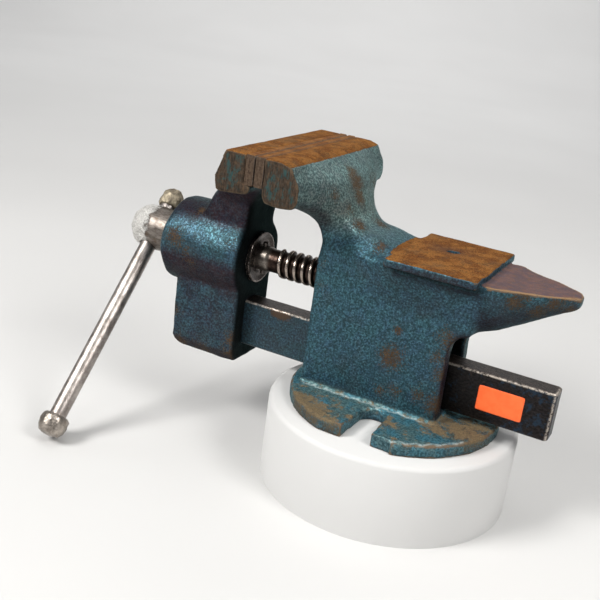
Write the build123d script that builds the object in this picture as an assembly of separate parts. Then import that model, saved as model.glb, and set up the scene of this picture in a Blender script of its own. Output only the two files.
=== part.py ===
from build123d import *
import os
from math import pi, cos, sin, sqrt

# Small cast-iron bench vise with an anvil plate and a horn.
# Millimetres, +Z up. Origin: centre of the round base flange, on its underside.
# +X runs along the screw from the handle towards the horn. Y runs across the jaws.

# ---- driving dimensions ----
axis_z = 51.5            # screw axis above the base
flange_r = 47.6          # round base flange
flange_t = 6.0
flange_flat_y = 44.7     # flats on both sides, where the bolt notches open
notch_in_y = 20.0        # inner end of each bolt notch
notch_half_in = 5.4
notch_half_out = 7.2

body_x0, body_x1 = -40.3, 24.7
body_half = 17.2
plate_x0, plate_x1 = -6.6, 33.9
plate_half = 28.3
plate_top = 75.3
plate_t = 3.6
horn_top = 72.4

jaw_half = 44.5          # jaw width 89 mm (3 1/2 in)
jaw_top = 107.7
gap_front, gap_rear = -61.5, -60.5
jaw_plate_t = 3.6
jaw_plate_z0 = 95.0
jaw_screw_y = 26.0

bar_half = 5.45
bar_z0, bar_z1 = 8.8, 30.7
bar_x0, bar_x1 = -106.0, 69.9

boss_r = 20.4
boss_x0, boss_x1 = -120.0, -78.3
block_x0 = -112.2
head_x = -135.2
shank_r = 5.95
thread_r = 7.0
thread_root = 5.45
thread_pitch = 4.0
thread_x0, thread_x1 = -67.0, 21.0
nut_x0, nut_x1 = -33.45, -13.0

handle_r = 4.0
handle_up = (0.0, 0.66182, 0.74966)
knob_up_at = 16.4
knob_low_at = -107.0

os.makedirs("parts", exist_ok=True)


def prism_xz(pts, half_y):
    """Solid with the outline pts (x, z), centred on y = 0."""
    w = Polyline(*[(x, 0, z) for x, z in pts], close=True)
    f = make_face(w)
    return extrude(f, amount=half_y, dir=(0, 1, 0), both=True)


def prism_yz(pts, x0, x1):
    """Solid with the outline pts (y, z), from x0 to x1."""
    w = Polyline(*[(x0, y, z) for y, z in pts], close=True)
    return extrude(make_face(w), amount=x1 - x0, dir=(1, 0, 0))


def slab(x0, x1, y0, y1, z0, z1):
    return Pos((x0 + x1) / 2, (y0 + y1) / 2, (z0 + z1) / 2) * Box(x1 - x0, y1 - y0, z1 - z0)


def rod_x(x0, x1, r, y=0.0, z=axis_z):
    return Pos((x0 + x1) / 2, y, z) * Rot(0, 90, 0) * Cylinder(r, x1 - x0)


def rod_y(y0, y1, r, x, z):
    return Pos(x, (y0 + y1) / 2, z) * Rot(90, 0, 0) * Cylinder(r, y1 - y0)


def turned_x(pts, z=axis_z):
    """Turned solid about the screw axis, pts are (x, radius)."""
    w = Polyline(*[(x, 0, z + r) for x, r in pts], close=True)
    return revolve(make_face(w), axis=Axis((0, 0, z), (1, 0, 0)), revolution_arc=360)


# ---------------------------------------------------------------- vise body
flange = Pos(0, 0, flange_t / 2) * Cylinder(flange_r, flange_t)
flange &= slab(-60, 60, -flange_flat_y, flange_flat_y, 0, flange_t)
for s in (-1, 1):
    notch = Polyline((-notch_half_in, s * (notch_in_y + 3), 0), (-notch_half_out, s * 60, 0),
                     (notch_half_out, s * 60, 0), (notch_half_in, s * (notch_in_y + 3), 0), close=True)
    flange -= extrude(make_face(notch), amount=10, dir=(0, 0, 1))
    flange -= Pos(0, s * (notch_in_y + notch_half_in), 3) * Cylinder(notch_half_in, 10)
# short step in the flat beside the near notch
flange -= slab(6.0, 15.6, -50, -43.3, -1, 7)
flange = fillet(flange.edges().group_by(Axis.Z)[-1].filter_by(GeomType.CIRCLE), 1.2)

trunk = prism_xz([(body_x0, 3), (body_x0, 70.5), (-22.0, 71.5), (0, 72.4), (30, 72.4), (29.0, 47.5), (body_x1, 42.5),
                  (body_x1 - 0.8, 37.0), (body_x1, 3)], body_half)

# the trunk flares out under the anvil plate
def flare(x, w, zb, zt):
    k = (w - body_half)
    pts = [(x, w, zt), (x, w - 0.35 * k, zt - 0.30 * (zt - zb)), (x, w - 0.75 * k, zt - 0.62 * (zt - zb)), (x, body_half - 1.0, zb)]
    right = Spline(*pts)
    left = Spline(*[(a, -b, c) for a, b, c in pts])
    return make_face(Wire([right, Line(pts[0], (x, -w, zt)), left, Line(pts[-1], (x, -pts[-1][1], zb))]))

flared = loft([flare(-26.0, body_half + 0.2, 60.0, 71.2), flare(-9.0, 22.6, 50.0, 72.2),
               flare(12.0, 24.2, 46.0, 73.0), flare(32.5, 22.0, 47.0, 73.0)])

anvil = slab(plate_x0, plate_x1, -plate_half, plate_half, plate_top - plate_t, plate_top)
anvil = fillet(anvil.edges().filter_by(Axis.Z), 1.2)
anvil = chamfer(anvil.edges().group_by(Axis.Z)[-1], 0.5)
# a web carries the plate's end face down onto the horn
anvil += slab(plate_x0 + 4, plate_x1 - 0.2, -24.0, 24.0, 68.5, 73)


def dsec(x, w, zt, zb):
    d = zt - zb
    pts = [(x, -w, zt), (x, -0.93 * w, zt - 0.30 * d), (x, -0.60 * w, zt - 0.76 * d), (x, 0, zb),
           (x, 0.60 * w, zt - 0.76 * d), (x, 0.93 * w, zt - 0.30 * d), (x, w, zt)]
    return make_face(Wire([Spline(*pts), Line(pts[-1], pts[0])]))

horn = loft([dsec(20.0, 22.5, horn_top, 43.0), dsec(33.0, 21.6, horn_top, 47.0), dsec(45.0, 18.5, horn_top, 52.6),
             dsec(55.0, 14.0, horn_top, 58.4), dsec(62.0, 9.8, horn_top, 62.8), dsec(66.6, 6.6, horn_top, 65.2),
             dsec(69.0, 4.6, horn_top - 0.5, 66.8), dsec(70.0, 2.6, horn_top - 1.6, 68.6)])

# fixed jaw: a bar across the body with a low step for the jaw plate
jr = gap_rear + jaw_plate_t
rear_jaw = prism_xz([(jr, 92.3), (jr, jaw_top), (-49.0, jaw_top), (-44.6, 106.3), (-40.4, 99.4),
                     (-39.9, 93.4), (-40.8, 90.6), (-43.0, 89.1), (-48.8, 88.4), (-55.1, 89.2)], jaw_half)
rear_jaw = fillet(rear_jaw.edges().filter_by(Axis.Y).group_by(Axis.X)[-1], 1.5)


def rect_at(z, x0, x1, half):
    return Pos((x0 + x1) / 2, 0, z) * Rectangle(x1 - x0, 2 * half)

def neck_at(z, half):
    """Horizontal cut of the neck: half is (x, y) from the front centre round to the rear centre."""
    pts = [(x, y, z) for x, y in half] + [(x, -y, z) for x, y in half[-2:0:-1]]
    return make_face(Polyline(*pts, close=True))

neck = loft([
    neck_at(66.0, [(-40.3, 0), (-40.3, 17.0), (-36.0, 17.2), (-27.0, 17.2), (-14.0, 17.2), (-11.0, 0)]),
    neck_at(72.0, [(-40.5, 0), (-40.4, 17.0), (-36.0, 17.2), (-28.0, 17.2), (-17.0, 16.8), (-14.0, 0)]),
    neck_at(77.0, [(-42.6, 0), (-42.4, 17.0), (-37.5, 17.6), (-30.5, 17.0), (-22.0, 15.5), (-19.0, 0)]),
    neck_at(82.5, [(-46.6, 0), (-46.0, 21.0), (-40.0, 23.0), (-33.5, 20.0), (-28.0, 15.5), (-25.5, 0)]),
    neck_at(87.5, [(-51.8, 0), (-51.2, 33.0), (-41.2, 35.0), (-35.5, 25.5), (-31.2, 16.5), (-29.0, 0)]),
    neck_at(92.5, [(-55.0, 0), (-54.8, 43.0), (-40.8, 43.2), (-36.4, 29.0), (-33.2, 17.5), (-31.4, 0)]),
    neck_at(98.5, [(-56.0, 0), (-56.0, 43.8), (-40.8, 44.0), (-38.0, 30.0), (-35.6, 18.5), (-34.4, 0)])])
crown = loft([
    neck_at(98.4, [(-56.0, 0), (-56.0, 43.8), (-40.8, 44.0), (-38.0, 30.0), (-35.6, 18.5), (-34.4, 0)]),
    neck_at(105.5, [(-56.0, 0), (-56.0, 43.6), (-45.0, 43.8), (-44.2, 30.0), (-43.6, 18.5), (-43.2, 0)])])
saddle = loft([
    neck_at(69.0, [(-34.0, 0), (-34.0, 16.0), (-28.0, 17.0), (-12.0, 18.0), (-2.0, 18.0), (-1.0, 0)]),
    neck_at(74.6, [(-34.0, 0), (-34.0, 15.0), (-28.0, 15.6), (-18.0, 15.0), (-7.0, 17.0), (-5.6, 0)]),
    neck_at(79.0, [(-36.0, 0), (-36.0, 14.0), (-31.0, 14.4), (-26.0, 14.0), (-20.0, 13.5), (-17.5, 0)])])

vise_body = flange + trunk + neck + crown + saddle + flared + anvil + horn + rear_jaw

# guide channel for the slide bar, wider at the rear mouth, and the nut chamber over it
vise_body -= slab(body_x0 - 5, body_x1 + 20, -bar_half - 0.1, bar_half + 0.1, bar_z0 - 0.1, bar_z1 + 0.1)
vise_body -= slab(body_x1 - 11.5, body_x1 + 3.5, -9.6, 9.6, bar_z0 - 0.1, 46.0)
vise_body -= slab(-33.5, body_x1 - 1.0, -8.0, 8.0, 38.5, 64.0)
vise_body -= rod_x(body_x0 - 20, -30, 7.7)
# hole in the anvil plate
vise_body -= Pos(12.0, 6.8, plate_top - 1.8) * Cylinder(2.4, 7.0)
# seat of the nut pin, blind from the far side
vise_body -= rod_y(7.0, 18.5, 1.52, -23.0, 61.2)
# jaw plate screw holes
for y in (-jaw_screw_y, jaw_screw_y):
    vise_body -= Pos(jr + 5.0, y, 101.4) * Rot(0, 90, 0) * Cylinder(2.02, 10.1)
export_step(vise_body, "parts/vise_body.step")


# ---------------------------------------------------------------- jaw plates and screws
def jaw_plate(x_face, sgn):
    """Hardened plate; sgn +1 when the gripping face looks towards -X."""
    x_back = x_face + sgn * jaw_plate_t
    p = slab(min(x_face, x_back), max(x_face, x_back) , -jaw_half, jaw_half, jaw_plate_z0, jaw_top)
    p = chamfer(p.edges().filter_by(Axis.Y), 0.35)
    for y in (-jaw_screw_y, jaw_screw_y):
        p -= Pos((x_face + x_back) / 2, y, 101.4) * Rot(0, 90, 0) * Cylinder(2.15, 10)
        cone = Cone(4.2, 2.15, 2.2) if sgn > 0 else Cone(2.15, 4.2, 2.2)
        p -= Pos(x_face + sgn * 1.1, y, 101.4) * Rot(0, 90, 0) * cone
    return p


def jaw_screws(x_face, sgn):
    out = []
    for y in (-jaw_screw_y, jaw_screw_y):
        head = Pos(x_face + sgn * 1.2, y, 101.4) * Rot(0, 90, 0) * (Cone(3.95, 1.95, 2.1) if sgn > 0 else Cone(1.95, 3.95, 2.1))
        x_a, x_b = x_face + sgn * 1.6, x_face + sgn * (jaw_plate_t + 9.0)
        shaft = Pos((x_a + x_b) / 2, y, 101.4) * Rot(0, 90, 0) * Cylinder(2.0, abs(x_b - x_a))
        s = head + shaft
        s -= Pos(x_face + sgn * 0.3, y, 101.4) * Box(1.2, 9.0, 1.0)
        out.append(s)
    return Compound(children=out)

export_step(jaw_plate(gap_rear, +1), "parts/rear_jaw_plate.step")
export_step(jaw_screws(gap_rear, +1), "parts/rear_jaw_screws.step")
export_step(jaw_plate(gap_front, -1), "parts/front_jaw_plate.step")
export_step(jaw_screws(gap_front, -1), "parts/front_jaw_screws.step")

# ---------------------------------------------------------------- nut and its pin
nut = slab(nut_x0, nut_x1, -7.95, 7.95, 39.5, 63.9)
nut = chamfer(nut.edges().filter_by(Axis.X), 1.0)
nut -= rod_x(nut_x0 - 5, nut_x1 + 5, 7.06)
nut -= rod_y(-5.0, 9.0, 1.52, -23.0, 61.2)
export_step(nut, "parts/spindle_nut.step")
export_step(rod_y(-4.9, 17.0, 1.5, -23.0, 61.2), "parts/nut_pin.step")

# ---------------------------------------------------------------- sliding jaw casting
jf = gap_front - jaw_plate_t
front_jaw = prism_xz([(jf, jaw_plate_z0), (jf, jaw_top), (-75.2, jaw_top), (-79.8, 96.0), (-78.6, 90.2), (-76.5, 89.4),
                      (-64.0, 90.8), (-62.5, 92.2), (-62.3, jaw_plate_z0 - 0.05), (jf, jaw_plate_z0 - 0.05)], jaw_half)
boss = turned_x([(boss_x0, 6.05), (boss_x0, boss_r - 1.6), (boss_x0 + 0.5, boss_r - 0.5), (boss_x0 + 1.6, boss_r),
                 (boss_x1, boss_r), (boss_x1, 6.05)])
block = prism_yz([(-14.8, 41), (-14.4, 6.0), (-11.0, 0.8), (11.0, 0.8), (14.4, 6.0), (14.8, 41)], block_x0, boss_x1)
block = fillet(block.edges().group_by(Axis.X)[0].filter_by(lambda e: e.center().Z < 2), 5.0)
column = prism_xz([(-106.0, 60.0), (-103.0, 68.0), (-98.5, 79.0), (-91.5, 88.0), (-80.5, 94.5), (-66.0, 94.5), (-65.0, 89.5),
                   (-72.5, 85.0), (-77.4, 77.5), (boss_x1, 68.0), (boss_x1, 60.0)], 12.8)
web = loft([rect_at(60.0, -105.6, boss_x1, 14.6), rect_at(68.0, -102.6, boss_x1, 13.6), rect_at(78.0, -98.0, -77.6, 14.2),
            rect_at(86.0, -91.0, -72.0, 20.0), rect_at(93.5, -80.2, -64.2, 40.0)], ruled=True)
front = front_jaw + boss + block + column + web
front -= rod_x(boss_x0 - 1, boss_x1 + 1, 6.05)
front -= slab(bar_x0 - 0.02, boss_x1 + 5, -bar_half - 0.02, bar_half + 0.02, bar_z0 - 0.02, bar_z1 + 0.02)
front -= rod_y(-9.1, 20.0, 2.52, -96.0, 20.0)
for y in (-jaw_screw_y, jaw_screw_y):
    front -= Pos(jf - 5.0, y, 101.4) * Rot(0, 90, 0) * Cylinder(2.02, 10.1)
export_step(front, "parts/front_jaw_casting.step")

# ---------------------------------------------------------------- slide bar and its pin
bar = slab(bar_x0, bar_x1, -bar_half, bar_half, bar_z0, bar_z1)
bar = fillet(bar.edges().filter_by(Axis.Z).group_by(Axis.X)[-1], 2.2)
bar = fillet(bar.edges().group_by(Axis.X)[-1], 0.9)
bar -= rod_y(-8.0, 8.0, 2.52, -96.0, 20.0)
export_step(bar, "parts/slide_bar.step")
export_step(rod_y(-9.0, 14.3, 2.5, -96.0, 20.0), "parts/slide_bar_pin.step")

# ---------------------------------------------------------------- spindle
head_prof = [(-146.7, 0.0), (-146.7, 4.4), (-145.7, 7.1), (-143.3, 9.4), (-140.0, 10.7), (-136.0, 11.0), (-131.6, 10.7), (-127.6, 10.1),
             (-124.0, 9.6), (-121.4, 9.9), (boss_x0 - 0.1, 10.0), (boss_x0 - 0.1, shank_r),
             (-71.5, shank_r), (-70.0, thread_root), (thread_x1 - 1.0, thread_root), (thread_x1, thread_root - 1.0), (thread_x1, 0.0)]
core = turned_x(head_prof)
hd = Vector(*handle_up)
hole_pl = Plane(origin=(head_x, 0, axis_z), z_dir=handle_up)
core -= hole_pl * Cylinder(handle_r + 0.08, 40)
core -= Pos(-74.6, 0, axis_z) * Cylinder(1.32, 30)
# right-hand trapezoidal thread
hlen = thread_x1 - thread_x0 - 5.0
hpl = Plane(origin=(thread_x0 + 2.5, 0, axis_z), z_dir=(1, 0, 0))
path = hpl * Helix(thread_pitch, hlen, thread_root)
start = path @ 0
prof_pl = Plane(origin=start, x_dir=(start - Vector(thread_x0 + 2.5, 0, axis_z)).normalized(), z_dir=path % 0)
tooth = prof_pl * make_face(Polyline((-0.25, -1.35), (thread_r - thread_root, -0.70), (thread_r - thread_root, 0.70), (-0.25, 1.35), close=True))
ridge = sweep(tooth, path=path, is_frenet=True)
spindle = core + ridge
export_step(spindle, "parts/spindle.step")

# dished retaining washer and the pin that holds it on the spindle
washer = turned_x([(boss_x1 + 0.05, 6.05), (boss_x1 + 0.05, 11.0), (boss_x1 + 0.7, 11.9), (boss_x1 + 2.2, 11.9), (boss_x1 + 2.4, 11.4),
                   (boss_x1 + 1.7, 9.2), (boss_x1 + 1.7, 6.05)])
export_step(washer, "parts/retaining_washer.step")
export_step(Pos(-74.6, 0, axis_z) * chamfer(Cylinder(1.3, 15.6).edges(), 0.3), "parts/retaining_pin.step")

# ---------------------------------------------------------------- handle
rod = hole_pl * Pos(0, 0, (knob_up_at + knob_low_at) / 2) * Cylinder(handle_r, knob_up_at - knob_low_at - 6.0)
export_step(rod, "parts/handle_bar.step")


def knob(prof):
    w = Polyline(*[(r, 0, z) for r, z in prof], close=True)
    return revolve(make_face(w), axis=Axis.Z, revolution_arc=360)

up = knob([(4.02, -4.6), (4.9, -4.6), (5.4, -3.6), (5.5, -1.0), (5.2, 2.4), (4.2, 4.2), (2.6, 4.8), (0, 5.0), (0, -2.98), (4.02, -2.98)])
export_step(hole_pl * Pos(0, 0, knob_up_at) * up, "parts/handle_knob_upper.step")
low = knob([(4.02, 4.6), (5.2, 4.6), (6.3, 3.4), (6.6, 0.6), (6.3, -2.2), (4.9, -4.4), (2.6, -5.2), (0, -5.3), (0, 2.98), (4.02, 2.98)])
export_step(hole_pl * Pos(0, 0, knob_low_at) * low, "parts/handle_knob_lower.step")
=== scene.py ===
import math
import random

import bmesh
import bpy
import numpy as np
from mathutils import Matrix, Vector, noise


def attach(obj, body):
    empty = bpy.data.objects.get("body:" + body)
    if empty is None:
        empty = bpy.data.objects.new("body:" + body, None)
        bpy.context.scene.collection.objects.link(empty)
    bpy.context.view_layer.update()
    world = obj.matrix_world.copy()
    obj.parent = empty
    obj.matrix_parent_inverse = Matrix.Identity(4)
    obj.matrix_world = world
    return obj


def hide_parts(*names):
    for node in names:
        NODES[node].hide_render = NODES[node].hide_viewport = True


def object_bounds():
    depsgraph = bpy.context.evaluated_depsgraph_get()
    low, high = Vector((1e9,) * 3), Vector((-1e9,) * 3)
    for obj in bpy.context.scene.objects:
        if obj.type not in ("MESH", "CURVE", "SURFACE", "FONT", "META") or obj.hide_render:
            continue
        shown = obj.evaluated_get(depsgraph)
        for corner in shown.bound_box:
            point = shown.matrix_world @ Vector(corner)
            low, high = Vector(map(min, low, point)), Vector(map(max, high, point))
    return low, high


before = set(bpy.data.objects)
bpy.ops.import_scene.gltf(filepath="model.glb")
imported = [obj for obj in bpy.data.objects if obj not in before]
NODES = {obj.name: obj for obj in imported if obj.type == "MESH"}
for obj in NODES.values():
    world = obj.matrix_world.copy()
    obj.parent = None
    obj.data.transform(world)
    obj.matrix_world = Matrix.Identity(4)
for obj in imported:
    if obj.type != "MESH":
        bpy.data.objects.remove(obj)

CAD_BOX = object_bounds()
MM = 0.001
random.seed(7)
col = bpy.context.scene.collection


# ------------------------------------------------------------------ mesh helpers
def coords(me):
    co = np.zeros(len(me.vertices) * 3, np.float64)
    me.vertices.foreach_get("co", co)
    return co.reshape(-1, 3)


def set_coords(me, co):
    me.vertices.foreach_set("co", co.astype(np.float32).ravel())
    me.update()


def edges_of(me):
    e = np.zeros(len(me.edges) * 2, np.int64)
    me.edges.foreach_get("vertices", e)
    return e.reshape(-1, 2)


def normals_of(me):
    n = np.zeros(len(me.vertices) * 3, np.float32)
    me.vertices.foreach_get("normal", n)
    return n.reshape(-1, 3).astype(np.float64)


def neighbour_mean(x, e, n, deg):
    """Mean of x over each vertex's neighbours."""
    out = np.empty_like(x)
    if x.ndim == 1:
        return (np.bincount(e[:, 0], x[e[:, 1]], n) + np.bincount(e[:, 1], x[e[:, 0]], n)) / deg
    for k in range(x.shape[1]):
        out[:, k] = np.bincount(e[:, 0], x[e[:, 1], k], n) + np.bincount(e[:, 1], x[e[:, 0], k], n)
    return out / deg[:, None]


def step(x, a, b):
    """Smooth 0..1 as x goes from a to b."""
    t = np.clip((x - a) / (b - a), 0, 1)
    return t * t * (3 - 2 * t)


def attr(me, name, values):
    a = me.attributes.get(name) or me.attributes.new(name, "FLOAT", "POINT")
    a.data.foreach_set("value", np.asarray(values, np.float32))


def vnoise(co_mm, scale, seed=0.0, octaves=2):
    """Smooth noise in about -1..1 at each point; scale is the feature size in mm."""
    off = Vector((seed * 13.7, seed * 7.1, seed * 3.3))
    out = np.empty(len(co_mm))
    inv = 1.0 / scale
    for i, p in enumerate(co_mm):
        out[i] = noise.fractal(Vector(p) * inv + off, 1.0, 2.0, octaves)
    return out


def remeshed(node, name, voxel_mm, smooth=None, iters=0):
    """A new piece made from a CAD node's surface: voxel remeshed, then relaxed where smooth(co) says."""
    src = NODES[node]
    ob = bpy.data.objects.new(name, src.data.copy())
    ob.data.materials.clear()
    for a in list(ob.data.attributes):
        if a.name in ("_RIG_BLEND",):
            ob.data.attributes.remove(a)
    col.objects.link(ob)
    m = ob.modifiers.new("remesh", "REMESH")
    m.mode = "VOXEL"
    m.voxel_size = voxel_mm * MM
    m.adaptivity = 0.0
    dg = bpy.context.evaluated_depsgraph_get()
    me = bpy.data.meshes.new_from_object(ob.evaluated_get(dg))
    ob.modifiers.clear()
    ob.data = me
    me.name = name
    if iters:
        co = coords(me)
        e = edges_of(me)
        n = len(co)
        deg = np.maximum(np.bincount(e.ravel(), minlength=n), 1).astype(float)
        w = smooth(co * 1000) if smooth is not None else np.ones(n)
        for i in range(iters):
            # Taubin pair keeps the volume
            co = co + 0.55 * w[:, None] * (neighbour_mean(co, e, n, deg) - co)
            if i % 2 == 1:
                co = co - 0.30 * w[:, None] * (neighbour_mean(co, e, n, deg) - co)
        set_coords(me, co)
    me.polygons.foreach_set("use_smooth", np.ones(len(me.polygons), bool))
    return ob


def curvature(me, rings=4):
    """Convexity at each vertex, positive on outer edges, negative in corners, and a blurred copy."""
    co = coords(me) * 1000
    e = edges_of(me)
    n = len(co)
    deg = np.maximum(np.bincount(e.ravel(), minlength=n), 1).astype(float)
    nor = normals_of(me)
    lap = neighbour_mean(co, e, n, deg) - co
    c = -(lap * nor).sum(1)
    for _ in range(rings):
        c = 0.5 * c + 0.5 * neighbour_mean(c, e, n, deg)
    wide = c.copy()
    for _ in range(24):
        wide = neighbour_mean(wide, e, n, deg)
    return c, wide, (e, n, deg)


def displace(me, amount_mm):
    co = coords(me)
    set_coords(me, co + normals_of(me) * (np.asarray(amount_mm)[:, None] * MM))


# ------------------------------------------------------------------ shader helpers
class Mat:
    """Small helper to write node materials. Texture space is the part's own frame, in millimetres."""

    def __init__(self, name):
        self.m = bpy.data.materials.new(name)
        self.m.use_nodes = True
        self.t = self.m.node_tree
        self.n = self.t.nodes
        self.n.clear()
        self.out = self.n.new("ShaderNodeOutputMaterial")
        self.b = self.n.new("ShaderNodeBsdfPrincipled")
        self.t.links.new(self.b.outputs[0], self.out.inputs[0])
        tc = self.n.new("ShaderNodeTexCoord")
        s = self.n.new("ShaderNodeVectorMath")
        s.operation = "SCALE"
        s.inputs[3].default_value = 1000.0
        self.t.links.new(tc.outputs["Object"], s.inputs[0])
        self.p = s.outputs[0]

    def link(self, a, b):
        if isinstance(a, (int, float)):
            b.default_value = a
        elif isinstance(a, (tuple, list)):
            b.default_value = (*a, 1.0) if len(a) == 3 and b.type == "RGBA" else a
        else:
            self.t.links.new(a, b)

    def stretch(self, v, sx, sy, sz):
        n = self.n.new("ShaderNodeVectorMath")
        n.operation = "MULTIPLY"
        self.link(v, n.inputs[0])
        n.inputs[1].default_value = (sx, sy, sz)
        return n.outputs[0]

    def warp(self, v, amount, scale):
        n = self.n.new("ShaderNodeTexNoise")
        self.link(v, n.inputs["Vector"])
        n.inputs["Scale"].default_value = scale
        n.inputs["Detail"].default_value = 2
        s = self.n.new("ShaderNodeVectorMath")
        s.operation = "SUBTRACT"
        self.link(n.outputs["Color"], s.inputs[0])
        s.inputs[1].default_value = (0.5, 0.5, 0.5)
        k = self.n.new("ShaderNodeVectorMath")
        k.operation = "SCALE"
        self.link(s.outputs[0], k.inputs[0])
        k.inputs[3].default_value = amount
        a = self.n.new("ShaderNodeVectorMath")
        a.operation = "ADD"
        self.link(v, a.inputs[0])
        self.link(k.outputs[0], a.inputs[1])
        return a.outputs[0]

    def noise(self, scale, detail=4, rough=0.55, v=None, dist=0.0):
        n = self.n.new("ShaderNodeTexNoise")
        self.link(self.p if v is None else v, n.inputs["Vector"])
        n.inputs["Scale"].default_value = scale
        n.inputs["Detail"].default_value = detail
        n.inputs["Roughness"].default_value = rough
        n.inputs["Distortion"].default_value = dist
        return n.outputs["Fac"]

    def voronoi(self, scale, v=None, feature="F1", out="Distance", rand=1.0):
        n = self.n.new("ShaderNodeTexVoronoi")
        n.feature = feature
        self.link(self.p if v is None else v, n.inputs["Vector"])
        n.inputs["Scale"].default_value = scale
        n.inputs["Randomness"].default_value = rand
        return n.outputs[out]

    def math(self, op, a, b=0.0, clamp=False, c=None):
        n = self.n.new("ShaderNodeMath")
        n.operation = op
        n.use_clamp = clamp
        self.link(a, n.inputs[0])
        self.link(b, n.inputs[1])
        if c is not None:
            self.link(c, n.inputs[2])
        return n.outputs[0]

    def ramp(self, x, lo, hi, a=0.0, b=1.0):
        n = self.n.new("ShaderNodeMapRange")
        n.interpolation_type = "SMOOTHSTEP"
        n.clamp = True
        self.link(x, n.inputs["Value"])
        n.inputs["From Min"].default_value = lo
        n.inputs["From Max"].default_value = hi
        n.inputs["To Min"].default_value = a
        n.inputs["To Max"].default_value = b
        return n.outputs["Result"]

    def mix(self, f, a, b, mode="MIX"):
        n = self.n.new("ShaderNodeMix")
        n.data_type = "RGBA"
        n.blend_type = mode
        n.clamp_factor = True
        self.link(f, n.inputs[0])
        self.link(a, n.inputs[6])
        self.link(b, n.inputs[7])
        return n.outputs[2]

    def mixf(self, f, a, b):
        n = self.n.new("ShaderNodeMix")
        n.data_type = "FLOAT"
        n.clamp_factor = True
        self.link(f, n.inputs[0])
        self.link(a, n.inputs[2])
        self.link(b, n.inputs[3])
        return n.outputs[0]

    def attr(self, name):
        n = self.n.new("ShaderNodeAttribute")
        n.attribute_name = name
        return n.outputs["Fac"]

    def sep(self, v=None):
        n = self.n.new("ShaderNodeSeparateXYZ")
        self.link(self.p if v is None else v, n.inputs[0])
        return n.outputs

    def normal_z(self):
        g = self.n.new("ShaderNodeNewGeometry")
        vt = self.n.new("ShaderNodeVectorTransform")
        vt.vector_type = "NORMAL"
        vt.convert_from = "WORLD"
        vt.convert_to = "OBJECT"
        self.link(g.outputs["Normal"], vt.inputs[0])
        return self.sep(vt.outputs[0])

    def bump(self, height, strength, dist_mm, prev=None):
        n = self.n.new("ShaderNodeBump")
        n.inputs["Strength"].default_value = strength
        n.inputs["Distance"].default_value = dist_mm * MM
        self.link(height, n.inputs["Height"])
        if prev is not None:
            self.link(prev, n.inputs["Normal"])
        return n.outputs[0]

    def done(self, colour, rough, metal=0.0, normal=None, spec=None, coat=None):
        self.link(colour, self.b.inputs["Base Color"])
        self.link(rough, self.b.inputs["Roughness"])
        self.link(metal, self.b.inputs["Metallic"])
        if normal is not None:
            self.link(normal, self.b.inputs["Normal"])
        if spec is not None:
            self.link(spec, self.b.inputs["Specular IOR Level"])
        if coat is not None:
            self.link(coat, self.b.inputs["Coat Weight"])
            self.b.inputs["Coat Roughness"].default_value = 0.25
        return self.m


def give(ob, mat):
    ob.data.materials.clear()
    ob.data.materials.append(mat)


def dress(node, mat):
    """A CAD node keeps its mesh and gets the material in every slot."""
    ob = NODES[node]
    if not ob.material_slots:
        ob.data.materials.append(mat)
    for s in ob.material_slots:
        s.link = "OBJECT"
        s.material = mat
    return ob


# ------------------------------------------------------------------ materials
def ground_face(k, rf):
    """Rusted brown and ochre of the ground faces, with darker clouds and fine speckle."""
    blotch = k.noise(0.13, 6, 0.66)
    f = k.mix(k.ramp(blotch, 0.42, 0.58), (0.215, 0.088, 0.022), (0.128, 0.044, 0.011))
    f = k.mix(k.math("MULTIPLY", k.ramp(k.noise(0.20, 7, 0.72), 0.50, 0.62), 0.60), f, (0.078, 0.040, 0.018))
    sp1 = k.noise(1.6, 5, 0.85)
    f = k.mix(k.math("MULTIPLY", k.ramp(sp1, 0.52, 0.60), 0.80), f, (0.034, 0.019, 0.011))
    f = k.mix(k.math("MULTIPLY", k.ramp(sp1, 0.46, 0.38), 0.65), f, (0.310, 0.165, 0.050))
    f = k.mix(k.math("MULTIPLY", k.ramp(k.noise(0.07, 4, 0.6), 0.54, 0.66), 0.35), f, (0.100, 0.062, 0.034))
    return f


def paint_parts(k):
    """Hammered metallic teal: colour with painted shade in the wrinkle valleys and painted highlight on the crests,
    height of its wrinkles, and a tone noise.
    """
    w = k.warp(k.p, 0.7, 1.2)
    wr = k.noise(1.12, 2, 0.5, v=w)
    wr2 = k.noise(2.7, 2, 0.55, v=w)
    ridge = k.math("ADD", k.math("MULTIPLY", k.ramp(wr, 0.32, 0.68), 0.65), k.math("MULTIPLY", k.ramp(wr2, 0.28, 0.72), 0.35))
    n2 = k.noise(0.17, 4, 0.6)
    n3 = k.noise(0.05, 3, 0.55)
    base = k.mix(k.ramp(n3, 0.38, 0.62), (0.022, 0.058, 0.090), (0.025, 0.074, 0.100))
    base = k.mix(k.math("MULTIPLY", k.ramp(n2, 0.42, 0.66), 0.5), base, (0.028, 0.056, 0.122))
    base = k.mix(k.math("MULTIPLY", k.ramp(k.noise(0.09, 5, 0.65), 0.50, 0.66), 0.45), base, (0.038, 0.040, 0.050))
    # painted shade: the valleys of the hammered wrinkles are darkened
    base = k.mix(k.ramp(ridge, 0.12, 0.70, 0.95, 0.0), base, (0.007, 0.014, 0.021))
    # painted highlight: the wrinkle crests are lightened, standing in for glints
    crest_highlight = k.ramp(ridge, 0.66, 0.95)
    base = k.mix(k.math("MULTIPLY", crest_highlight, 0.60), base, (0.085, 0.205, 0.255))
    return base, ridge, n2


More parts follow.
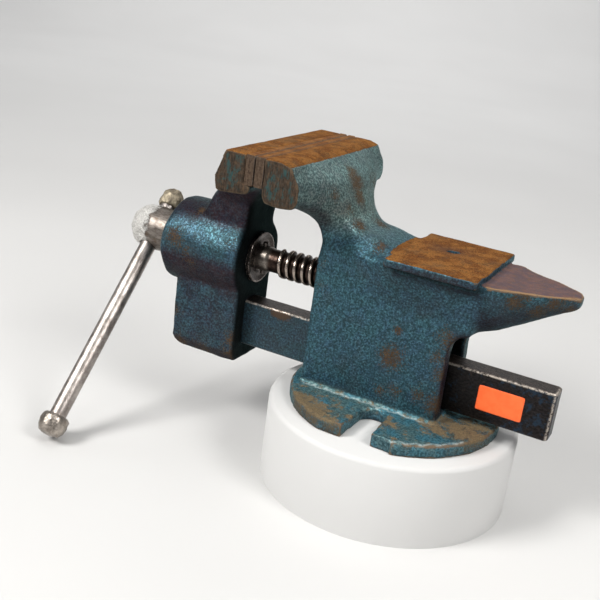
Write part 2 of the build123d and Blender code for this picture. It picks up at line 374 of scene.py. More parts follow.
def cast_material():
    """Hammered teal paint over cast iron, with bare rusty faces, worn edges and rust spots."""
    k = Mat("hammered_paint")
    wear, cav, gain = k.attr("edge"), k.attr("cavity"), k.attr("wear_gain")
    bare, hornf, rustm, flng = k.attr("bare"), k.attr("horn_flat"), k.attr("rust"), k.attr("flange")
    cheek, faded_and_lit = k.attr("cheek"), k.attr("faded_and_lit")
    paint, ridge, n2 = paint_parts(k)
    rf = k.noise(1.7, 5, 0.7)
    rn = k.noise(0.35, 6, 0.65)
    # faded, greyer and browner zones, partly painted light: these zones are painted lighter, most on the wrinkle
    # crests
    paint = k.mix(k.math("MULTIPLY", faded_and_lit, 0.60), paint, k.mix(k.ramp(ridge, 0.25, 0.80), (0.070, 0.095, 0.085), k.mix(k.ramp(n2, 0.4, 0.6), (0.330, 0.430, 0.370), (0.300, 0.300, 0.230))))
    # grime in hollows, partly painted shade: hollows and crevices are darkened
    grime_and_shade = k.ramp(k.math("ADD", k.math("MULTIPLY", cav, 0.9), k.math("MULTIPLY", n2, 0.5)), 0.42, 0.95)
    paint = k.mix(k.math("MULTIPLY", grime_and_shade, 0.75), paint, (0.022, 0.020, 0.021))
    broken_early = k.noise(1.2, 5, 0.7)
    nz = k.normal_z()
    # painted shade and painted red reflection: faces turned downward are darkened and tinted purple
    underside_shade = k.ramp(nz[2], -0.05, -0.75)
    paint = k.mix(k.math("MULTIPLY", underside_shade, 0.55), paint, (0.032, 0.024, 0.029))
    # dirt, partly painted shade and painted red reflection: undersides, recesses and faces out of the light are
    # darkened and reddened
    dirt_and_shade = k.attr("dirt_and_shade")
    dn = k.math("MULTIPLY", dirt_and_shade, k.ramp(k.math("ADD", k.noise(0.12, 6, 0.7), k.math("MULTIPLY", dirt_and_shade, 0.35)), 0.42, 0.72))
    paint = k.mix(k.math("MULTIPLY", dn, 0.75), paint, k.mix(k.ramp(rn, 0.4, 0.6), (0.022, 0.006, 0.010), (0.040, 0.014, 0.016)))
    painted_shade = k.attr("painted_shade")
    flo = k.attr("flange")
    # flange paint, partly painted light: the upward facing flange is painted lighter, lightest on the wrinkle crests
    flange_paint_and_light = k.mix(k.ramp(ridge, 0.2, 0.8), (0.035, 0.080, 0.095), (0.150, 0.240, 0.235))
    flange_paint_and_light = k.mix(k.ramp(k.noise(0.10, 5, 0.6), 0.46, 0.56), flange_paint_and_light, k.mix(k.ramp(ridge, 0.2, 0.8), (0.025, 0.090, 0.130), (0.090, 0.260, 0.330)))
    paint = k.mix(k.math("MULTIPLY", flo, 0.85), paint, flange_paint_and_light)
    rust = k.mix(k.ramp(rn, 0.35, 0.65), (0.070, 0.036, 0.018), (0.160, 0.078, 0.032))
    rust = k.mix(k.math("MULTIPLY", k.ramp(rf, 0.45, 0.75), 0.6), rust, (0.090, 0.060, 0.042))
    steel = k.mix(k.ramp(rf, 0.3, 0.7), (0.17, 0.145, 0.120), (0.36, 0.32, 0.27))
    broken = k.math("ADD", k.math("MULTIPLY", k.noise(0.42, 6, 0.7), 0.7), k.math("MULTIPLY", k.noise(3.0, 3, 0.7), 0.25))
    wg = k.math("MULTIPLY", wear, gain)
    edge_bare = k.ramp(k.math("ADD", wg, k.math("SUBTRACT", broken, 0.48)), 0.42, 0.56)
    shiny = k.ramp(k.math("ADD", wg, k.math("SUBTRACT", broken, 0.48)), 0.72, 0.95)
    speck = k.math("ADD", k.math("MULTIPLY", k.noise(1.7, 5, 0.85), 0.75), k.math("MULTIPLY", k.noise(0.5, 5, 0.7), 0.25))
    spots = k.math("MULTIPLY", k.ramp(k.math("ADD", speck, k.math("MULTIPLY", rustm, 0.185)), 0.590, 0.635), k.ramp(rustm, 0.03, 0.12))
    small = k.ramp(k.noise(0.32, 8, 0.78), 0.668, 0.715)
    worn_col = k.mix(k.math("MULTIPLY", shiny, 0.85), k.mix(0.5, rust, (0.15, 0.115, 0.080)), steel)
    c = k.mix(k.math("MULTIPLY", edge_bare, 0.9), paint, worn_col)
    spot_col = k.mix(k.ramp(rf, 0.4, 0.7), (0.050, 0.028, 0.016), (0.130, 0.070, 0.026))
    c = k.mix(k.math("MULTIPLY", spots, 0.85), c, spot_col)
    c = k.mix(k.math("MULTIPLY", small, 0.7), c, (0.052, 0.036, 0.028))
    # jaw ends: filed brown iron, paint left in the middle, vertical scratches
    streak = k.noise(1.5, 4, 0.7, v=k.stretch(k.p, 1.0, 1.0, 0.22))
    ck = k.mix(k.ramp(streak, 0.32, 0.68), (0.022, 0.014, 0.010), (0.066, 0.042, 0.028))
    ck = k.mix(k.math("MULTIPLY", k.ramp(k.noise(0.5, 6, 0.7), 0.50, 0.66), 0.5), ck, (0.105, 0.058, 0.030))
    ck = k.mix(k.math("MULTIPLY", k.ramp(k.math("ADD", wear, k.math("SUBTRACT", broken_early, 0.48)), 0.45, 0.85), 0.45), ck, (0.150, 0.100, 0.060))
    left = k.math("SUBTRACT", k.math("MULTIPLY", k.noise(0.55, 7, 0.75, v=k.stretch(k.p, 1, 1, 0.45)), 1.5), cheek)
    inpaint = k.ramp(left, 0.50, 0.68)
    ck = k.mix(k.math("MULTIPLY", inpaint, 0.75), ck, (0.022, 0.062, 0.064))
    cm = k.ramp(cheek, 0.02, 0.20)
    c = k.mix(cm, c, ck)
    face = ground_face(k, rf)
    face = k.mix(k.math("MULTIPLY", k.attr("stain"), 0.8), face, (0.060, 0.030, 0.022))
    bb = k.ramp(k.math("ADD", bare, k.math("SUBTRACT", broken, 0.48)), 0.36, 0.52)
    c = k.mix(bb, c, face)
    hcol = k.mix(k.ramp(k.noise(0.28, 5, 0.6), 0.4, 0.65), (0.088, 0.056, 0.062), (0.130, 0.070, 0.062))
    hcol = k.mix(k.math("MULTIPLY", k.ramp(k.math("ADD", wear, k.math("SUBTRACT", broken, 0.48)), 0.20, 0.6), 0.75), hcol, (0.30, 0.18, 0.085))
    hcol = k.mix(k.math("MULTIPLY", k.ramp(k.noise(0.42, 6, 0.7), 0.53, 0.64), 0.6), hcol, (0.130, 0.066, 0.034))
    hcol = k.mix(k.math("MULTIPLY", k.ramp(k.noise(0.25, 6, 0.7), 0.57, 0.66), 0.5), hcol, (0.040, 0.060, 0.075))
    hb = k.ramp(k.math("ADD", hornf, k.math("SUBTRACT", broken, 0.48)), 0.40, 0.56)
    c = k.mix(hb, c, hcol)
    # flange top: patchy paint worn to brown
    fp = k.ramp(k.math("ADD", k.math("ADD", k.noise(0.24, 8, 0.72), k.math("MULTIPLY", cav, 0.06)), k.math("MULTIPLY", rustm, 0.20)), 0.555, 0.625)
    fcol = k.mix(k.ramp(rf, 0.35, 0.65), (0.075, 0.050, 0.028), (0.225, 0.165, 0.090))
    c = k.mix(k.math("MULTIPLY", k.math("MULTIPLY", fp, flng), 0.9), c, fcol)
    # painted highlight: a pale broken glint line along the flange fillet
    fillet_glint = k.math("MULTIPLY", k.attr("fillet_glint"), k.ramp(k.noise(0.8, 6, 0.75), 0.36, 0.54))
    c = k.mix(k.math("MULTIPLY", fillet_glint, 0.85), c, (0.520, 0.600, 0.590))
    allbare = k.math("MAXIMUM", k.math("MAXIMUM", k.math("MAXIMUM", edge_bare, spots), k.math("MAXIMUM", bb, hb)), cm)
    allbare = k.math("MAXIMUM", allbare, k.math("MULTIPLY", fp, flng))
    rough = k.mixf(allbare, k.ramp(ridge, 0.3, 1.0, 0.46, 0.32), k.ramp(rf, 0.3, 0.7, 0.62, 0.80))
    rough = k.mixf(k.math("MAXIMUM", grime_and_shade, underside_shade), rough, 0.62)
    metal = k.mixf(allbare, 0.50, 0.10)
    metal = k.math("MULTIPLY", metal, k.math("SUBTRACT", 1.0, k.math("MULTIPLY", grime_and_shade, 0.8)))
    h = k.math("MULTIPLY", ridge, k.math("SUBTRACT", 1.0, k.math("MULTIPLY", allbare, 0.70)))
    nb = k.bump(h, 0.8, 0.12)
    nb = k.bump(k.math("ADD", k.noise(0.55, 3, 0.6), k.math("MULTIPLY", rn, 1.0)), 0.4, 0.22, nb)
    nb = k.bump(k.math("SUBTRACT", 1.0, allbare), 0.5, 0.12, nb)
    # painted shade: faces in shadow are made near black
    painted_shade_amount = k.math("MULTIPLY", painted_shade, 0.95)
    c = k.mix(painted_shade_amount, c, (0.0035, 0.0022, 0.0018))
    rough = k.mixf(painted_shade_amount, rough, 0.8)
    rough = k.mixf(bb, rough, 0.85)
    spec = k.mixf(k.math("MAXIMUM", allbare, k.math("MAXIMUM", painted_shade_amount, k.math("MAXIMUM", underside_shade, dn))), 1.0, 0.16)
    spec = k.mixf(bb, spec, 0.05)
    k.link((0.55, 1.0, 1.0), k.b.inputs["Specular Tint"])
    return k.done(c, rough, metal, nb, spec=spec)


def edge_mask(k, radius_mm=0.7):
    """Picks out sharp outer edges in the shader, for CAD nodes that keep their own mesh."""
    bv = k.n.new("ShaderNodeBevel")
    bv.samples = 4
    bv.inputs["Radius"].default_value = radius_mm * MM
    g = k.n.new("ShaderNodeNewGeometry")
    d = k.n.new("ShaderNodeVectorMath")
    d.operation = "DOT_PRODUCT"
    k.link(bv.outputs[0], d.inputs[0])
    k.link(g.outputs["Normal"], d.inputs[1])
    return k.ramp(k.math("SUBTRACT", 1.0, d.outputs["Value"]), 0.006, 0.12)


def steel_material(name, dark, light, rustc=(0.10, 0.055, 0.030), rust_amt=0.5, rough=(0.28, 0.5), metal=0.9,
                   pit=0.5, grain=None, scale=1.0, streak=0.25, edge=0.0, edge_col=(0.45, 0.40, 0.34), bump=0.5):
    """Bare steel with tone clouds, pits, scratches along its length and rust."""
    k = Mat(name)
    g = k.p if grain is None else k.stretch(k.p, *grain)
    n1 = k.noise(0.18 * scale, 5, 0.6)
    n2 = k.noise(1.1 * scale, 6, 0.7)
    st = k.noise(2.2 * scale, 4, 0.65, v=g)
    c = k.mix(k.ramp(n1, 0.32, 0.68), dark, light)
    c = k.mix(k.math("MULTIPLY", k.ramp(st, 0.35, 0.75), streak), c, [min(1, x * 1.7 + 0.02) for x in light])
    spots = k.ramp(k.noise(0.45 * scale, 7, 0.72), 0.58, 0.68)
    c = k.mix(k.math("MULTIPLY", spots, rust_amt), c, rustc)
    pits = k.ramp(k.noise(2.2 * scale, 5, 0.75), 0.62, 0.70)
    c = k.mix(k.math("MULTIPLY", pits, pit), c, [x * 0.30 for x in dark])
    if edge:
        em = k.math("MULTIPLY", edge_mask(k), k.ramp(k.noise(0.5, 5, 0.7), 0.35, 0.60))
        c = k.mix(k.math("MULTIPLY", em, edge), c, edge_col)
    r = k.mixf(k.math("MAXIMUM", spots, pits), k.ramp(st, 0.3, 0.7, rough[0], rough[1]), 0.72)
    mt = k.mixf(spots, metal, metal * 0.45)
    nb = k.bump(k.math("SUBTRACT", k.math("MULTIPLY", st, 0.5), pits), bump, 0.10)
    nb = k.bump(k.math("ADD", n2, k.noise(6.0 * scale, 3, 0.6)), 0.35, 0.08, nb)
    return k.done(c, r, mt, nb)


def plate_material():
    k = Mat("jaw_plate_rusty")
    rf = k.noise(1.7, 5, 0.7)
    face = ground_face(k, rf)
    nz = k.normal_z()
    side = k.ramp(k.math("ABSOLUTE", nz[1]), 0.5, 0.8)
    streak = k.noise(1.3, 4, 0.7, v=k.stretch(k.p, 1.0, 1.0, 0.16))
    ck = k.mix(k.ramp(k.math("ADD", k.math("MULTIPLY", streak, 0.4), k.math("MULTIPLY", k.noise(0.9, 6, 0.7), 0.6)), 0.38, 0.62), (0.040, 0.026, 0.018), (0.105, 0.072, 0.050))
    c = k.mix(side, face, ck)
    grip = k.ramp(k.math("ABSOLUTE", nz[0]), 0.6, 0.9)
    # shallow crossed grooves on the gripping face
    q = k.sep()
    a = k.math("SINE", k.math("MULTIPLY", k.math("ADD", q[1], q[2]), 3.2))
    b2 = k.math("SINE", k.math("MULTIPLY", k.math("SUBTRACT", q[1], q[2]), 3.2))
    kn = k.math("MULTIPLY", k.math("MINIMUM", a, b2), grip)
    c = k.mix(k.math("MULTIPLY", grip, 0.85), c, k.mix(k.ramp(rf, 0.35, 0.65), (0.10, 0.085, 0.075), (0.20, 0.175, 0.15)))
    em = k.math("MULTIPLY", edge_mask(k, 0.5), k.ramp(k.noise(0.6, 5, 0.7), 0.38, 0.58))
    c = k.mix(k.math("MULTIPLY", em, 0.4), c, (0.20, 0.13, 0.08))
    nb = k.bump(kn, 0.6, 0.25)
    nb = k.bump(k.math("ADD", rf, k.noise(0.6, 6, 0.7)), 0.5, 0.22, nb)
    return k.done(c, k.ramp(rf, 0.3, 0.7, 0.66, 0.85), 0.05, nb, spec=0.08)


def bar_material():
    """Slide bar: teal paint on the sides near the jaw, dark bare steel with rust and traces of blue elsewhere."""
    k = Mat("slide_bar_steel")
    q = k.sep()
    nz = k.normal_z()
    rf = k.noise(1.7, 5, 0.7)
    paint, ridge, n2 = paint_parts(k)
    st = k.noise(1.1, 6, 0.75, v=k.stretch(k.p, 0.55, 1, 1))
    dark = k.mix(k.ramp(st, 0.38, 0.64), (0.006, 0.005, 0.005), (0.024, 0.020, 0.020))
    blue = k.math("ADD", k.noise(0.30, 7, 0.75), k.math("MULTIPLY", k.ramp(q[0], 30, 68), 0.07))
    dark = k.mix(k.math("MULTIPLY", k.ramp(blue, 0.56, 0.64), 0.75), dark, (0.016, 0.036, 0.062))
    dark = k.mix(k.math("MULTIPLY", k.ramp(k.noise(0.5, 7, 0.75), 0.58, 0.68), 0.6), dark, (0.060, 0.040, 0.030))
    top = k.ramp(nz[2], 0.5, 0.85)
    topc = k.mix(k.ramp(k.noise(0.9, 7, 0.75, v=k.stretch(k.p, 0.6, 1, 1)), 0.42, 0.66), (0.016, 0.011, 0.010), (0.080, 0.058, 0.048))
    c = k.mix(top, dark, topc)
    side = k.ramp(k.math("ABSOLUTE", nz[1]), 0.5, 0.85)
    broken = k.noise(0.35, 7, 0.7)
    pm = k.ramp(k.math("ADD", k.math("MULTIPLY", q[0], -0.05), k.math("MULTIPLY", broken, 1.6)), 2.15, 2.45)
    pm = k.math("MULTIPLY", pm, side)
    dx = k.math("MULTIPLY", k.math("ADD", q[0], 60.0), 0.16)
    dz = k.math("MULTIPLY", k.math("SUBTRACT", q[2], 29.5), 0.30)
    rr = k.math("SQRT", k.math("ADD", k.math("MULTIPLY", dx, dx), k.math("MULTIPLY", dz, dz)))
    patch = k.ramp(k.math("SUBTRACT", rr, k.math("MULTIPLY", k.noise(1.0, 8, 0.85), 2.6)), -0.20, -0.55)
    pm2 = k.math("MULTIPLY", pm, k.math("SUBTRACT", 1.0, k.math("MULTIPLY", patch, 0.9)))
    c = k.mix(pm2, c, k.mix(0.35, paint, (0.028, 0.050, 0.055)))
    c = k.mix(k.math("MULTIPLY", k.math("MULTIPLY", patch, side), 0.9), c, (0.085, 0.055, 0.036))
    em = k.math("MULTIPLY", k.math("MULTIPLY", edge_mask(k, 1.1), k.ramp(q[2], 24, 30, 0.35, 1.0)), k.ramp(k.noise(0.7, 6, 0.75), 0.34, 0.52))
    ay = k.math("ABSOLUTE", q[1])
    rubbed = k.math("MULTIPLY", k.ramp(ay, 4.3, 4.9), k.ramp(q[2], 29.5, 30.1))
    rubbed = k.math("MAXIMUM", rubbed, k.math("MULTIPLY", k.ramp(q[0], 68.2, 69.2), k.math("MAXIMUM", k.ramp(ay, 4.2, 5.0), k.ramp(q[2], 29.3, 30.2))))
    em = k.math("MAXIMUM", em, k.math("MULTIPLY", rubbed, k.ramp(k.noise(0.8, 6, 0.75), 0.40, 0.56)))
    c = k.mix(k.math("MULTIPLY", em, 0.95), c, (0.50, 0.44, 0.38))
    r = k.mixf(pm2, k.ramp(st, 0.3, 0.7, 0.26, 0.46), 0.45)
    mt = k.mixf(pm2, 0.80, 0.50)
    nb = k.bump(k.math("MULTIPLY", ridge, pm2), 0.6, 0.22)
    nb = k.bump(k.math("ADD", st, k.noise(3.0, 4, 0.7)), 0.5, 0.12, nb)
    return k.done(c, r, mt, nb)


def screw_material():
    """Forged screw: rough bright cap, smooth grey collar, oily dark thread with rubbed crests."""
    k = Mat("screw_steel")
    q = k.sep()
    rf = k.noise(1.7, 5, 0.7)
    dz = k.math("SUBTRACT", q[2], 51.5)
    rad = k.math("SQRT", k.math("ADD", k.math("MULTIPLY", q[1], q[1]), k.math("MULTIPLY", dz, dz)))
    crest = k.math("MULTIPLY", k.ramp(rad, 6.45, 6.85), k.ramp(q[0], -90.0, -70.0))
    thread = k.mix(k.ramp(k.noise(0.5, 5, 0.7), 0.35, 0.65), (0.014, 0.008, 0.006), (0.050, 0.032, 0.025))
    thread = k.mix(k.math("MULTIPLY", crest, k.ramp(rf, 0.30, 0.55)), thread, (0.42, 0.35, 0.30))
    neck = k.ramp(q[0], -69.0, -71.5)
    thread = k.mix(neck, thread, k.mix(k.ramp(rf, 0.35, 0.65), (0.10, 0.085, 0.075), (0.26, 0.23, 0.20)))
    # collar: mill grey with brown haze; cap: chipped bright
    st = k.noise(0.8, 5, 0.65, v=k.stretch(k.p, 0.35, 1, 1))
    coll = k.mix(k.ramp(st, 0.35, 0.65), (0.105, 0.090, 0.078), (0.250, 0.222, 0.198))
    coll = k.mix(k.math("MULTIPLY", k.ramp(k.noise(0.35, 6, 0.7), 0.52, 0.66), 0.6), coll, (0.120, 0.080, 0.052))
    chip = k.voronoi(0.62, v=k.warp(k.p, 1.2, 0.7))
    capc = k.mix(k.ramp(rf, 0.32, 0.66), (0.440, 0.424, 0.396), (0.790, 0.780, 0.755))
    capc = k.mix(k.math("MULTIPLY", k.ramp(k.noise(0.8, 6, 0.75), 0.54, 0.66), 0.75), capc, (0.110, 0.090, 0.072))
    capm = k.ramp(k.math("ADD", q[0], k.math("MULTIPLY", k.math("SUBTRACT", k.noise(0.35, 5, 0.7), 0.5), 9.0)), -133.6, -135.4)
    headc = k.mix(capm, coll, capc)
    hm = k.ramp(q[0], -117.0, -121.0)
    c = k.mix(hm, thread, headc)
    r = k.mixf(hm, k.mixf(crest, 0.34, 0.26), k.mixf(capm, 0.42, k.ramp(rf, 0.3, 0.7, 0.42, 0.66)))
    capb = k.math("MULTIPLY", capm, hm)
    nb = k.bump(k.math("MULTIPLY", k.math("ADD", chip, k.math("MULTIPLY", k.noise(1.6, 5, 0.75), 1.2)), capb), 0.9, 0.55)
    nb = k.bump(k.math("ADD", k.noise(3.0, 4, 0.7), k.math("MULTIPLY", st, 0.5)), 0.4, 0.10, nb)
    return k.done(c, r, k.mixf(capb, 0.92, 0.70), nb)


def label_material():
    """Plain orange paper, a little faded and dirty at its edges."""
    k = Mat("blank_orange_label")
    n1 = k.noise(0.25, 4, 0.6)
    fib = k.noise(3.0, 4, 0.65, v=k.stretch(k.p, 0.4, 1, 1))
    c = k.mix(k.ramp(n1, 0.35, 0.65), (1.0, 0.135, 0.024), (1.0, 0.160, 0.034))
    q = k.sep()
    ex = k.math("ABSOLUTE", k.math("SUBTRACT", q[0], 47.5))
    ez = k.math("ABSOLUTE", k.math("SUBTRACT", q[2], 19.5))
    rim = k.math("MAXIMUM", k.ramp(ex, 8.8, 10.1), k.ramp(ez, 4.7, 5.8))
    c = k.mix(k.math("MULTIPLY", rim, k.ramp(k.noise(0.9, 5, 0.7), 0.40, 0.75, 0.0, 0.55)), c, (0.40, 0.075, 0.030))
    c = k.mix(k.math("MULTIPLY", k.ramp(k.noise(1.1, 7, 0.8), 0.62, 0.70), 0.35), c, (0.30, 0.07, 0.03))
    return k.done(c, k.ramp(fib, 0.3, 0.7, 0.50, 0.62), 0.0, k.bump(k.math("ADD", fib, n1), 0.25, 0.06))


CAST = cast_material()
M_PLATE = plate_material()
M_BAR = bar_material()
M_SCREW = screw_material()
M_LABEL = label_material()
M_DARK = steel_material("oiled_dark_steel", (0.030, 0.026, 0.024), (0.120, 0.105, 0.095), (0.070, 0.042, 0.030), 0.5, (0.24, 0.42), 0.85, 0.5, (0.3, 1, 1), edge=0.8)
M_HANDLE = steel_material("pitted_bright_steel", (0.20, 0.172, 0.155), (0.50, 0.455, 0.425), (0.12, 0.080, 0.055), 0.55, (0.30, 0.46), 0.95, 0.9, (1, 0.25, 0.2), 0.8, 0.2, bump=0.9)
M_KNOB = steel_material("forged_knob_steel", (0.100, 0.082, 0.060), (0.400, 0.345, 0.250), (0.10, 0.062, 0.034), 0.75, (0.42, 0.66), 0.7, 0.95, scale=1.9, bump=1.2)
M_KNOB2 = steel_material("worn_knob_steel", (0.16, 0.138, 0.118), (0.46, 0.41, 0.36), (0.16, 0.10, 0.06), 0.5, (0.26, 0.45), 0.92, 0.8, bump=0.9)
# the washer's pale pink rim is partly painted highlight and painted red reflection, partly worn bright steel
M_WASHER = steel_material("washer_steel", (0.022, 0.017, 0.015), (0.085, 0.070, 0.062), (0.070, 0.040, 0.028), 0.5, (0.22, 0.38), 0.9, 0.4, edge=1.0, edge_col=(0.80, 0.68, 0.62))
M_NUT = steel_material("cast_iron_bare", (0.045, 0.04, 0.038), (0.11, 0.10, 0.09), (0.10, 0.05, 0.03), 0.6, (0.5, 0.75), 0.6, 0.5)

# ------------------------------------------------------------------ castings
def spots_mask(P, spots):
    out = np.zeros(len(P))
    for sx, sy, sz, sr, sa in spots:
        d = np.sqrt((P[:, 0] - sx) ** 2 + (P[:, 1] - sy) ** 2 + (P[:, 2] - sz) ** 2) / sr
        out = np.maximum(out, sa * np.exp(-d * d))
    return out


def cast_masks(me, spots, wear_gain, bare, horn, flange, faded_and_lit, dirt_and_shade, painted_shade, fillet_glint=None, stain=None):
    """Writes the masks the hammered paint reads."""
    c, wide, (e, n, deg) = curvature(me)
    P = coords(me) * 1000
    N = normals_of(me)
    attr(me, "edge", np.clip(c / 0.060, 0, 1))
    attr(me, "cavity", np.clip(-wide / 0.030, 0, 1))
    def soft(v, k):
        for _ in range(k):
            v = neighbour_mean(v, e, n, deg)
        return v
    attr(me, "bare", soft(bare(P, N), 2))
    attr(me, "horn_flat", soft(horn(P, N), 1))
    attr(me, "flange", flange(P, N))
    attr(me, "wear_gain", soft(wear_gain(P, N), 3))
    attr(me, "faded_and_lit", soft(faded_and_lit(P, N), 6))
    attr(me, "dirt_and_shade", soft(dirt_and_shade(P, N), 6))
    attr(me, "painted_shade", soft(painted_shade(P, N), 3))
    attr(me, "fillet_glint", fillet_glint(P, N) if fillet_glint else np.zeros(len(P)))
    attr(me, "stain", stain(P, N) if stain else np.zeros(len(P)))
    attr(me, "rust", spots_mask(P, spots))
    # jaw ends: 1 at their outline, falling to about 0.2 at the middle
    end = ((np.abs(P[:, 1]) > 43.6) & (np.abs(N[:, 1]) > 0.75) & (P[:, 2] > 87)).astype(float)
    far = end.copy()
    acc = end.copy()
    for i in range(10):
        far = np.minimum(far, neighbour_mean(far, e, n, deg))
        acc += far
    inner = acc / 11.0
    attr(me, "cheek", np.where(end > 0, np.clip(1.15 - inner * 0.95, 0.2, 1.0), soft(end, 2)))


def base_smooth(co):
    x, y, z = co.T
    crisp = np.maximum(step(z, 70.2, 71.4) * step(x, -9, -6), step(z, 103, 105))
    w = 1.0 - 0.80 * crisp
    w *= 1.0 - 0.7 * step(7.5 - z, 0, 1.0) * (np.hypot(x, y) > 40)
    return w


def relax(me, weight, iters):
    """Extra plain smoothing where weight says, for long cast fillets."""
    co = coords(me)
    e = edges_of(me)
    n = len(co)
    deg = np.maximum(np.bincount(e.ravel(), minlength=n), 1).astype(float)
    w = weight(co * 1000)[:, None] * 0.6
    for _ in range(iters):
        co = co + w * (neighbour_mean(co, e, n, deg) - co)
    set_coords(me, co)


base = remeshed("vise_body", "base_casting", 0.60, base_smooth, 14)
me = base.data


def neck_weight(co):
    x, y, z = co.T
    w = step(z, 64, 72) * (1 - step(z, 98, 104)) * (1 - step(x, -12, -6))
    w *= 1 - step(np.abs(y), 38, 42) * step(z, 86, 89)
    # the root of the flare and of the horn
    w2 = step(z, 42, 50) * (1 - step(z, 66, 70)) * step(x, -30, -18) * (1 - step(x, 55, 62)) * 0.6
    hollow = (np.abs(y) < 10.5) & (z < 66) & (x > -36) & (x < 28)
    return np.where(hollow, 0.0, np.maximum(w, w2))

relax(me, neck_weight, 90)
P = coords(me) * 1000
N = normals_of(me)
x, y, z = P.T
# uneven sand cast skin, calmer on the ground faces
calm = np.maximum(step(z, 73.6, 74.6) * (x > -8), step(z, 105, 106.5))
n1 = vnoise(P, 13.0, 1.0, 2)
n2 = vnoise(P, 4.2, 2.0, 2)
amp = (0.22 * n1 + 0.10 * n2) * (1 - 0.6 * calm) * (1 - ((np.abs(y) < 10) & (z < 64) & (x < 27)) * 0.9)
displace(me, amp)
# the little hole in the plate is ragged, and the plate's outline is uneven
co = coords(me)
d = np.hypot(x - 12.0, y - 6.8)
ang = np.arctan2(y - 6.8, x - 12.0)
rag = (0.45 * np.sin(2 * ang + 0.6) + 0.25 * np.sin(5 * ang + 1.9)) * (1 - step(d, 2.6, 5.5)) * step(z, 67.5, 69.5)
co[:, 0] += rag * np.cos(ang) * MM
co[:, 1] += rag * np.sin(ang) * MM * 0.8
rim = step(np.maximum(np.abs(y) - 26.0, np.abs(x - 13.6) - 18.2), 0, 2.0) * step(z, 70.8, 71.6) * (x > -9) * (x < 35.2)
w3 = vnoise(P, 7.0, 4.0, 3) * rim
co[:, 0] += 0.45 * w3 * np.sign(x - 13.6) * MM * (np.abs(x - 13.6) > 18) - 0.25 * rim * (np.abs(x - 13.6) > 18) * np.sign(x - 13.6) * MM
co[:, 1] += 0.45 * w3 * np.sign(y) * MM * (np.abs(y) > 26) - 0.25 * rim * (np.abs(y) > 26) * np.sign(y) * MM
set_coords(me, co)

SPOTS = [(-33.9, -1, 96.8, 6.5, 1.0), (-36.9, 0.2, 100.4, 4.5, 0.9), (-31.2, -1.9, 91.8, 5, 1.0), (-25.5, -10.7, 80.8, 3.5, 0.95), (-22.5, 5, 79.1, 5, 0.9),
         (-12.8, -15.7, 76.5, 4, 0.8), (-34.6, -20.8, 93.9, 4, 0.6), (-30.5, -12.3, 87, 4, 0.6), (0.5, -17.2, 30, 6.0, 1.0), (1.5, -17.2, 42.8, 2.4, 0.85),
         (-1.8, -17.2, 13.2, 3.0, 0.75), (15.3, -17.2, 17, 4.5, 0.65), (20, -17.2, 35.7, 4, 0.65), (4.5, -17.2, 15.3, 3.5, 0.6), (23, -17.2, 28.8, 4, 0.8),
         (23, -17, 45, 5, 0.7), (23.5, -17, 15, 6, 0.8), (46.7, -16.6, 67.7, 4.5, 0.9), (55.6, -10.4, 64.3, 5, 0.85), (61.2, -9.5, 69, 4.5, 0.9), (50.2, -15.9, 71.4, 3.5, 0.85),
         (61.9, -7, 72.4, 4, 0.9), (66.5, -4, 67, 4, 0.8), (-22.4, -41.1, 6, 10, 0.9), (-11.3, -44.7, 3.7, 6, 0.7), (38, -12.7, 6, 12, 1.0), (7, -29.5, 6, 6, 0.8),
         (-30.6, -35.6, 6, 9, 0.9), (27, -20, 7, 6, 0.9), (-36, -17, 52, 3, 0.45), (-37, -17, 62, 2.5, 0.5), (26, 10, 20, 8, 0.4), (-20, 30, 6, 12, 0.7),
         (20, 36, 6, 12, 0.8), (5, 17.4, 30, 8, 0.8), (-15, 17.4, 50, 5, 0.6), (-30, 22, 95, 8, 0.8), (45, 15, 69, 6, 0.7), (57, 9, 66, 5, 0.7), (-50, 15, 88, 6, 0.6)]
